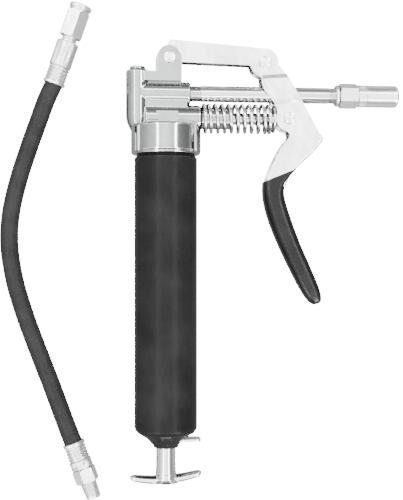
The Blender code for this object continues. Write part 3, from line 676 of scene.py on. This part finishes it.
def pumpHead():
    skirt = stand(turned("pumpHead", [(18.6, 18.8), (20.0, 18.4), (20.6, 17.4), (20.6, 2.6), (20.9, 1.9),
                                      (21.3, 1.2), (21.2, 0.4), (20.6, 0)], 96), "v")
    parts = []
    for name, middle in (("lugRight", 0), ("lugLeft", 180)):
        outline = (arc((0, 0), 21.6, middle - 35, middle + 35, 16)
                   + arc((0, 0), 19, middle + 35, middle - 35, 16))
        parts.append(stand(slab(name, outline, 1.4, 17.0), "v"))
    parts.append(stand(turned("column", [(5.6, 52.5), (6.7, 52.1), (7.2, 51.2), (7.2, 23.0), (6.5, 19.5),
                                         (4.6, 15.5)], 64), "v", (headSet["columnU"], 0, 0)))
    pipeAt, plungerAt = (0, headSet["pipeV"], 0), (0, headSet["plungerV"], 0)
    parts.append(stand(turned("pipeBoss", [(7.1, headSet["columnU"] + 2), (7.1, 13.8), (6.6, 14.8),
                                           (5.8, 15.2)], 64), "u", pipeAt))
    parts.append(stand(turned("plungerBoss", [(8.0, -12.7), (8.0, 20.7), (7.3, 21.4), (6.6, 21.5),
                                              (6.6, 40.9), (6.2, 41.3)], 64), "u", plungerAt))
    parts.append(stand(brick("web", (-15.1, 12.3, -5.4), (12.8, 36.7, 5.4)), "w"))
    earIn, earOut, radius = headSet["earIn"], headSet["earOut"], headSet["earRadius"]
    u, v = headSet["pin"]
    footU, footLow, footHigh = headSet["footU"], headSet["footLow"], headSet["footHigh"]
    outline = arc((u, v), radius, 0, 180, 20)
    outline += [(u - radius, footHigh), (footU, footHigh), (footU, footLow), (u + radius, footLow)]
    parts.append(stand(slab("earFront", outline, earIn, earOut), "w"))
    parts.append(stand(slab("earBack", outline, -earOut, -earIn), "w"))
    parts.append(stand(brick("earFoot", (footU, footLow, -earOut), (u + radius, footHigh, earOut)), "w"))
    head = castTogether(skirt, parts, headSet["grain"], headSet["rounds"])
    flat = stand(slab("flat", [(-6.4, 26.9), (7.0, 26.9), (7.6, 20.6), (-5.0, 20.6)], 7.15, 20), "w")
    plungerHole = turned("plungerHole", [(4.05, -14), (4.05, 33.5), (5.5, 33.5), (5.5, 60)], 48)
    pipeHole = turned("pipeHole", [(5.2, 3), (5.2, 30)], 48)
    skirtHole = turned("skirtHole", [(18.0, -5), (18.0, 15.6)], 96)
    cut(head, flat, stand(plungerHole, "u", plungerAt), pinHole(headSet["pin"], 20),
        stand(pipeHole, "u", pipeAt), stand(skirtHole, "v"), seam("seamLeft", -19.0),
        seam("seamRight", 17.9))
    settle(head, castZinc, "cast_zinc", "gun_body", "head")
    plug = stand(turned("valvePlug", [(3.7, 45.9), (3.7, 52.6), (4.7, 52.7), (4.9, 53.0), (4.9, 53.9),
                                      (4.3, 54.5)], 48), "v", (headSet["columnU"], 0, 0))
    socket = stand(turned("socket", [(2.2, 53.2), (2.2, 56)], 6), "v", (headSet["columnU"], 0, 0))
    settle(cut(plug, socket), castZinc, "cast_zinc", "gun_body", "valve_plug")


pumpHead()
print("stage: pump head")


# barrel, rod and handle

barrelSet = {
    "radius": 19.4, "wall": 1.2, "neck": 17.7, "corner": -167.6, "coneTop": -172.7, "coneEnd": -179.4,
    "dimples": [(-16.2, -163.7), (11.0, -165.5)], "dimpleWidth": 1.5, "dimpleDepth": 0.45,
}


def barrelTube():
    radius, corner = barrelSet["radius"], barrelSet["corner"]
    outer = [(barrelSet["neck"], 13.4), (barrelSet["neck"], -0.9), (radius - 0.9, -1.2),
             (radius - 0.1, -1.9), (radius, -2.8), (radius, -60), (radius, -120), (radius, -158)]
    outer += [(radius, -158 - 0.7 * k) for k in range(1, 15)]
    outer += arc((radius - 5, corner), 5, -8, -76, 10)
    outer += [(14.9, barrelSet["coneTop"] - 0.3), (14.4, barrelSet["coneTop"] - 0.9), (13.0, -174.2),
              (10.4, -176.7), (8.6, -178.8), (8.0, barrelSet["coneEnd"]), (7.7, -180.4), (7.2, -180.7)]
    inner = [(6.4, -180.6), (6.4, barrelSet["coneEnd"]), (14.2, barrelSet["coneTop"] + 0.7),
             (radius - barrelSet["wall"], corner), (radius - barrelSet["wall"], -4.0), (16.5, -2.6),
             (16.5, 13.4)]
    tube = stand(turned("barrelTube", outer + inner, 160, "loop"), "v")
    for vert in tube.data.vertices:
        spot = vert.co
        if spot.z < 0 or spot.y > -150 or sqrt(spot.x ** 2 + spot.z ** 2) < radius - 0.5:
            continue
        for u, v in barrelSet["dimples"]:
            reach = ((spot.x - u) ** 2 + (spot.y - v) ** 2) / barrelSet["dimpleWidth"] ** 2
            press = barrelSet["dimpleDepth"] * exp(-reach)
            spot.x -= spot.x / radius * press
            spot.z -= spot.z / radius * press
    cut(tube, stand(brick("latchSlot", (7.0, -177.5, -6.6), (26, -173.6, 6.6)), "w"))
    settle(tube, blackEnamel, "black_paint", "gun_body", "barrel", crease=40)


def pullRod():
    rod = stand(turned("pullRod", [(2.9, -0.8), (2.9, -14.2), (5.7, -14.2), (6.0, -14.6), (6.0, -100),
                                   (6.0, -186), (6.05, -192), (6.3, -196), (6.5, -197)], 72), "v")
    settle(rod, rodChrome, "chrome", "pull_rod", "follower_rod")


handleSet = {"reach": 22.3, "low": -203.7, "rise": 2.9, "slope": 1.2, "thick": 2.95, "wide": 4.4}


def tHandle():
    # a crescent bar, swept ring by ring, melted together with its boss
    count, stations = 24, 40
    rings = []
    for k in range(stations + 1):
        t = -1 + 2 * k / stations
        blunt = max(0.02, 1 - abs(t) ** 14) ** 0.5
        halfV = (handleSet["thick"] - 0.7 * abs(t)) * blunt
        halfW = (handleSet["wide"] - 0.9 * abs(t)) * blunt
        rise = handleSet["rise"] * abs(t) ** 2.2 + handleSet["slope"] * t
        lean = 0.27 * t + 0.05
        middle = (handleSet["reach"] * t, handleSet["low"] + handleSet["thick"] + rise)
        ring = []
        for n in range(count):
            a = 2 * pi * n / count
            x = halfV * cos(a)
            ring.append((middle[0] - x * sin(lean), middle[1] + x * cos(lean), halfW * sin(a)))
        rings.append(ring)
    bar = skin("tHandle", rings)
    boss = stand(turned("boss", [(6.2, -197.4), (6.3, -198.2), (6.6, -200.2), (7.6, -201.6),
                                 (8.6, -202.4)], 48), "v")
    castTogether(bar, [boss], 0.3, 4)
    settle(bar, rodChrome, "chrome", "pull_rod", "t_handle")


latchSet = {"v": -176.2, "reach": 21.6, "thick": 0.75}


def latchPlate():
    outline = arc((0, 0), 8.6, 45, 315, 32)
    outline += arc((latchSet["reach"] - 3, -3), 3, -90, 0, 8) + arc((latchSet["reach"] - 3, 3), 3, 0, 90, 8)
    thick = latchSet["thick"]
    plate = slab("latchPlate", [(u, -w) for u, w in outline], latchSet["v"] - thick, latchSet["v"] + thick)
    stand(plate, "v")
    cut(plate, stand(turned("bore", [(6.45, -190), (6.45, -160)], 48), "v"))
    soften(plate, 0.25, 2)
    settle(plate, brightPlate, "plated_steel", "rod_latch", "latch_plate")


barrelTube()
pullRod()
tHandle()
latchPlate()
print("stage: barrel, rod and handle")


# pipe and coupler

pipeSet = {"v": 38.2, "radius": 4.95, "bore": 2.6, "first": 2.0, "last": 112.0}
couplerSet = {
    "collar": (106.5, 109.1), "hexEnd": 120.7, "corner": 8.0, "sleeve": 6.95, "end": 146.8, "round": 2.3,
    "strips": 144, "knurl": (0.75, 4.35), "knurlDepth": 0.22,
}


def threadRings(low, high, radius, depth, pitch):
    rings = []
    turns = round((high - low) / pitch)
    for k in range(turns):
        rings += [(radius - depth, low + k * pitch), (radius, low + (k + 0.5) * pitch)]
    return rings + [(radius - depth, high)]


def extensionPipe():
    radius = pipeSet["radius"]
    profile = [(radius, pipeSet["first"]), (radius, 15.2)]
    profile += threadRings(15.6, 21.2, radius - 0.05, 0.42, 0.8)
    profile += [(radius, 21.9), (radius, 60), (radius, 102.2)]
    profile += threadRings(102.8, 108.4, radius - 0.05, 0.42, 0.8)
    profile += [(radius - 0.2, pipeSet["last"]), (pipeSet["bore"], pipeSet["last"]),
                (pipeSet["bore"], pipeSet["first"])]
    pipe = stand(turned("extensionPipe", profile, 72, "loop"), "u", (0, pipeSet["v"], 0))
    settle(pipe, chromePlate, "chrome", "gun_body", "extension_pipe", crease=25)


def coupler():
    at = (0, pipeSet["v"], 0)
    first, last = couplerSet["collar"]
    collar = turned("lockCollar", [(5.25, first + 0.2), (5.9, first), (6.5, first + 0.5),
                                   (6.85, first + 1.2), (6.85, last - 1.1), (6.5, last - 0.5),
                                   (5.9, last - 0.3), (5.25, last - 0.3)], 64, "loop")
    settle(stand(collar, "u", at), nickelFitting, "plated_steel", "gun_body", "coupler_collar")
    corner, hexEnd = couplerSet["corner"], couplerSet["hexEnd"]
    body = hexPrism("couplerHex", corner, last, hexEnd, 1.25)
    weld(body, [turned("spigot", [(5.5, 115), (5.5, 127)], 48)])
    cut(body, turned("bore", [(5.25, 100), (5.25, 113), (2.2, 113), (2.2, 135)], 48))
    soften(body, 0.18, 2, 40)
    settle(stand(body, "u", at), brightPlate, "plated_steel", "gun_body", "coupler_hex")


def couplerSleeve():
    outer, end, nose = couplerSet["sleeve"], couplerSet["end"], couplerSet["round"]
    first = couplerSet["hexEnd"] + 0.3
    strips = couplerSet["strips"]
    profile = [(5.85, first), (outer - 0.5, first), (outer - 0.15, first + 0.35),
               (outer - 0.12, first + 0.7), (outer - 0.12, first + 4.4), (outer - 0.3, first + 4.6),
               (outer - 0.3, first + 5.0), (outer, first + 5.3), (outer, first + 9.4),
               (outer - 0.06, first + 9.6), (outer - 0.06, end - 8.6), (outer, end - 8.4),
               (outer, end - nose)]
    profile += arc((outer - nose, end - nose), nose, 0, 90, 12)[1:]
    profile += [(3.6, end), (3.6, 145.2), (5.55, 144.2), (5.55, 127.2), (5.85, 127.2)]
    sleeve = turned("couplerSleeve", profile, strips, "loop")
    # straight knurl: every other strip of the band is raised
    low, high = (first + height for height in couplerSet["knurl"])
    knurl = bmesh.new()
    knurl.from_mesh(sleeve.data)
    for face in knurl.faces:
        centre = face.calc_center_median()
        strip = round(atan2(centre.y, centre.x) / (2 * pi) * strips - 0.5)
        face.select = low < centre.z < high and centre.xy.length > outer - 0.4 and strip % 2 == 0
    knurl.to_mesh(sleeve.data)
    knurl.free()
    pick(sleeve)
    bpy.context.tool_settings.mesh_select_mode = (False, False, True)
    bpy.ops.object.mode_set(mode="EDIT")
    bpy.ops.mesh.inset(thickness=0.04, depth=couplerSet["knurlDepth"], use_individual=True)
    bpy.ops.object.mode_set(mode="OBJECT")
    settle(stand(sleeve, "u", (0, pipeSet["v"], 0)), brightPlate, "plated_steel", "sleeve", "coupler_sleeve",
           crease=25)


extensionPipe()
coupler()
couplerSleeve()
print("stage: pipe and coupler")


# plunger and springs

plungerSet = {"v": 22.9, "radius": 3.7, "pinU": 76.5, "eye": 5.4, "stroke": 15.0}
returnSet = {"radius": 8.35, "wire": 1.05, "low": 21.8, "high": 66.4, "turns": 11}
followerSet = {"radius": 12.6, "wire": 0.8, "low": -166.9, "high": -14.2, "turns": 10, "travel": 120.0}


def coilPoints(radius, thick, low, high, turns, steps):
    # a coil about Z whose first and last turns lie close
    closed = 2.15 * thick
    openTurns = turns - 2
    rise = (high - low - 2 * thick - 2 * closed) / openTurns
    points = []
    for k in range(turns * steps + 1):
        t = k / steps
        h = low + thick + closed * min(t, 1) + rise * min(max(t - 1, 0), openTurns)
        h += closed * max(t - 1 - openTurns, 0)
        points.append((radius * cos(2 * pi * t), radius * sin(2 * pi * t), h))
    return points


def pumpSpring():
    low, high = returnSet["low"], returnSet["high"]
    points = coilPoints(returnSet["radius"], returnSet["wire"], low, high, returnSet["turns"], 36)
    spring = stand(wire("returnSpring", points, returnSet["wire"], 4), "u", (0, plungerSet["v"], 0))
    settle(spring, springWire, "spring_steel", "gun_body", "return_spring", crease=80)
    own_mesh(spring)


def followerSpring():
    low, high = followerSet["low"], followerSet["high"]
    points = coilPoints(followerSet["radius"], followerSet["wire"], low, high, followerSet["turns"], 24)
    spring = stand(wire("followerSpring", points, followerSet["wire"], 2), "v")
    settle(spring, springWire, "spring_steel", "gun_body", "follower_spring", crease=80)
    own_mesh(spring)


def pumpPlunger():
    radius, v, pinU, eyeRadius = (plungerSet[key] for key in ("radius", "v", "pinU", "eye"))
    bar = stand(turned("pumpPlunger", [(radius - 0.5, 4.5), (radius, 5.0), (radius, 30), (radius, 66),
                                       (radius, pinU)], 64), "u", (0, v, 0))
    eye = turned("eye", [(eyeRadius - 0.5, -4.4), (eyeRadius, -3.9), (eyeRadius, 3.9),
                         (eyeRadius - 0.5, 4.4)], 48)
    weld(bar, [stand(eye, "w", (pinU, v, 0))])
    cut(bar, pinHole((pinU, v), 9))
    settle(bar, chromePlate, "chrome", "pump_plunger", "plunger")
    seat = turned("springSeat", [(4.0, 66.7), (8.3, 66.7), (8.6, 67.0), (8.6, 67.6), (8.3, 67.9),
                                 (4.0, 67.9)], 64, "loop")
    settle(stand(seat, "u", (0, v, 0)), brightPlate, "plated_steel", "pump_plunger", "spring_seat")


pumpPlunger()
pumpSpring()
followerSpring()
print("stage: plunger and springs")


# link, lever and grip

linkSet = {"half": 4.6, "wall": 1.4, "leverPin": (61.0, 57.4), "slot": 4.7, "fold": 1.8}
leverSet = {
    "in": 4.9, "out": 6.5, "bulgeIn": 6.0, "bulgeOut": 7.6, "fold": 3.6,
    "plungerPin": (plungerSet["pinU"], plungerSet["v"]),
}


def roundEdges(piece, width, segments, wanted):
    # bevels just the edges that wanted() picks by its two ends
    shape = bmesh.new()
    shape.from_mesh(piece.data)
    for part in (shape.verts, shape.edges, shape.faces):
        for item in part:
            item.select = False
    for edge in shape.edges:
        edge.select = wanted(edge.verts[0].co, edge.verts[1].co)
    shape.to_mesh(piece.data)
    shape.free()
    pick(piece)
    bpy.context.tool_settings.mesh_select_mode = (False, True, False)
    bpy.ops.object.mode_set(mode="EDIT")
    bpy.ops.mesh.bevel(offset=width, segments=segments, affect="EDGES", clamp_overlap=True)
    bpy.ops.object.mode_set(mode="OBJECT")
    return piece


def topLink():
    half, wall = linkSet["half"], linkSet["wall"]
    pin, leverPin = headSet["pin"], linkSet["leverPin"]
    outline = [(pin[0] + 0.2, 71.0)] + arc(pin, 6.6, 100, 275, 20)
    outline += [(9.2, 57.1), (52.0, 55.8)] + arc(leverPin, 9.0, 215, 445, 28)
    link = slab("topLink", outline, -half, half)

    def topEdge(a, b):
        return abs(a.z - b.z) < 0.01 and min(a.y, b.y) > 65.5 and abs(a.x - b.x) > 0.3
    roundEdges(link, linkSet["fold"], 9, topEdge)
    hollow = slab("hollow", [(-12, 40), (80, 40), (80, 62), (62, 65.0), (pin[0] + 1.4, 69.6), (-12, 69.6)],
                  wall - half, half - wall)
    slot = turned("slot", [(linkSet["slot"], -9), (linkSet["slot"], 9)], 40)
    cut(link, hollow, pinHole(pin, 9), stand(slot, "w", (*leverPin, 0)))
    soften(link, 0.22, 2, 40)
    settle(link, polishedPlate, "plated_steel", "top_link", "link", crease=10)


# outlines of the lever's cheek and of the two pressed ribs, (u, v)
cheekRight = [(69.8, 56.2), (75.5, 49.0), (83.8, 35.2), (94.7, 15.3), (97.6, 11.6), (98.0, 10.4),
              (97.6, 9.2), (96.0, 7.0), (91.4, 1.6), (82.3, -6.6), (79.4, -9.6), (77.2, -12.6),
              (75.4, -16.0), (74.4, -19.4)]
cheekLeft = [(62.3, -17.8), (62.6, -13.6), (64.2, -9.3), (66.2, -5.0), (68.6, -0.2), (71.2, 4.6),
             (73.6, 7.9), (76.0, 10.6), (76.6, 12.0), (76.4, 13.4), (75.4, 14.7)]
cheekUp = [(68.5, 30.6), (67.2, 33.6), (65.2, 36.0), (62.2, 38.6), (60.4, 41.0), (59.2, 44.6), (58.8, 49.2)]
bulgeFoot = [(59.3, 50.2), (73.9, 51.3), (84.9, 33.2), (68.2, 30.3)]
bulgeTop = [(59.6, 47.0), (76.1, 48.0), (83.0, 36.4), (66.0, 33.4)]


def leverShell():
    outer, inner = leverSet["out"], leverSet["in"]
    outline = cheekRight + cheekLeft + arc(leverSet["plungerPin"], 8.2, 262, 160, 20)[1:]
    outline += cheekUp + arc(linkSet["leverPin"], 8.7, 255, -8, 36)
    shell = slab("leverShell", outline, -outer, outer)

    def backEdge(a, b):
        # the long bend below the elbow, down the side away from the barrel
        return (abs(a.z - b.z) < 0.01 and max(a.y, b.y) < 12 and min(a.x, b.x) > 74
                and min(a.x - 0.62 * a.y, b.x - 0.62 * b.y) > 80)
    roundEdges(shell, leverSet["fold"], 12, backEdge)
    for side in (1, -1):
        low, high = side * (outer - 0.3), side * leverSet["bulgeOut"]
        band = skin("band", [[(u, v, low) for u, v in bulgeFoot], [(u, v, high) for u, v in bulgeTop]])
        weld(shell, [band])
    hollow = slab("hollow", [(50, 70), (100, 70), (100, 17.5), (92.2, 16.6), (95.4, 10.6), (94.6, 8.2),
                             (80.4, -6.2), (76.2, -11.0), (73.6, -24), (55, -24)], -inner, inner)
    wide = slab("wide", [(55, 47.0), (77.6, 47.2), (84.2, 36.6), (64.0, 33.9)], -leverSet["bulgeIn"],
                leverSet["bulgeIn"])
    cut(shell, hollow, wide, pinHole(linkSet["leverPin"], 12), pinHole(leverSet["plungerPin"], 12))
    soften(shell, 0.2, 2, 40)
    settle(shell, polishedPlate, "plated_steel", "hand_lever", "lever", crease=10)


gripEdges = [
    # left edge, right edge, half-depth along w, from the mouth to the tip
    ((60.9, -16.2), (82.2, -7.6), 7.2), ((60.7, -17.4), (79.4, -10.4), 7.3),
    ((60.6, -19.0), (76.7, -13.4), 7.4), ((60.5, -21.2), (74.9, -16.6), 7.4),
    ((60.5, -24.8), (73.5, -20.9), 7.4), ((61.1, -29.4), (73.9, -25.4), 7.5),
    ((62.1, -34.2), (75.1, -29.5), 7.6), ((64.2, -41.2), (77.2, -36.0), 7.6),
    ((66.8, -47.9), (79.4, -42.4), 7.6), ((70.2, -55.8), (82.3, -50.2), 7.5),
    ((73.9, -63.8), (85.5, -58.0), 7.4), ((77.6, -71.0), (88.9, -65.3), 7.2),
    ((81.0, -77.9), (92.1, -72.6), 6.9), ((84.4, -84.0), (95.0, -79.2), 6.5),
    ((87.1, -88.2), (97.0, -84.4), 5.9), ((89.2, -90.9), (97.8, -88.0), 4.9),
    ((91.3, -92.6), (97.8, -90.5), 3.7), ((93.2, -93.4), (97.0, -92.2), 2.2),
]
mouthRows = 12


def gripRings(edges, thin, sides=64):
    rings = []
    for row, (left, right, depth) in enumerate(edges):
        square = min(0.72, 0.3 + 0.07 * row)
        left, right = Vector(left), Vector(right)
        middle = (left + right) / 2
        half = (right - left).length / 2 - thin
        across = (right - left).normalized()
        ring = []
        for k in range(sides):
            a = 2 * pi * k / sides
            c, s = cos(a), sin(a)
            x = half * abs(c) ** square * (1 if c >= 0 else -1)
            w = (depth - thin) * abs(s) ** square * (1 if s >= 0 else -1)
            # two fine ridges where the vinyl runs over the edge of the steel
            place = x / max(half, 0.1)
            for ridge in (-0.5, -0.28):
                if w > 0 and thin == 0:
                    w += 0.22 * exp(-((place - ridge) / 0.06) ** 2)
            spot = middle + across * x
            ring.append((spot.x, spot.y, w))
        rings.append(ring)
    return rings


def gripSleeve():
    rings = gripRings(gripEdges, 0)
    inner = gripRings(gripEdges[:mouthRows], 1.5)
    grip = skin("gripSleeve", inner[::-1] + rings)
    smooth = grip.modifiers.new("smooth", "SUBSURF")
    smooth.levels = smooth.render_levels = 1
    applyLast(grip)
    settle(grip, dippedVinyl, "black_vinyl", "hand_lever", "lever_grip", crease=60)


def rivet(name, node, half, at, body):
    # a shank with two heads, each with a rolled rim and a dished middle
    out = half + 0.3
    head = [(2.0, 0.0), (3.6, 0.0), (3.7, 0.25), (3.3, 0.8), (2.9, 0.9), (2.75, 0.85), (2.35, 0.3),
            (2.1, 0.3), (1.65, 0.85), (1.2, 1.0), (0.5, 0.95)]
    profile = [(r, out + h) for r, h in head][::-1] + [(r, -out - h) for r, h in head]
    piece = stand(turned(name, profile[::-1], 48), "w", (*at, 0))
    settle(piece, brightPlate, "plated_steel", body, node, crease=25)


topLink()
leverShell()
gripSleeve()
rivet("headRivet", "head_pin", headSet["earOut"], headSet["pin"], "gun_body")
rivet("linkRivet", "link_pin", leverSet["out"], linkSet["leverPin"], "hand_lever")
rivet("plungerRivet", "plunger_pin", leverSet["out"], leverSet["plungerPin"], "hand_lever")
print("stage: link, lever and grip")


# pieces inside, kept as they come, each in a finish of its own

innerFinish = {
    "check_ball": chromePlate, "check_spring": springWire, "coupler_spring": springWire,
    "latch_spring": springWire,
    "barrel_gasket": innerRubber, "coupler_seal": innerRubber, "packing_ring": innerRubber,
    "follower_cup": innerRubber, "packing_nut": brightPlate, "follower_plate": brightPlate,
    "follower_nut": nickelFitting, "coupler_jaw_1": nickelFitting, "coupler_jaw_2": nickelFitting,
    "coupler_jaw_3": nickelFitting, "coupler_jaw_4": nickelFitting,
}
for node, material in innerFinish.items():
    kept = frame["nodes"][node]
    kept.data.materials.clear()
    kept.data.materials.append(material)
print("stage: inner pieces")
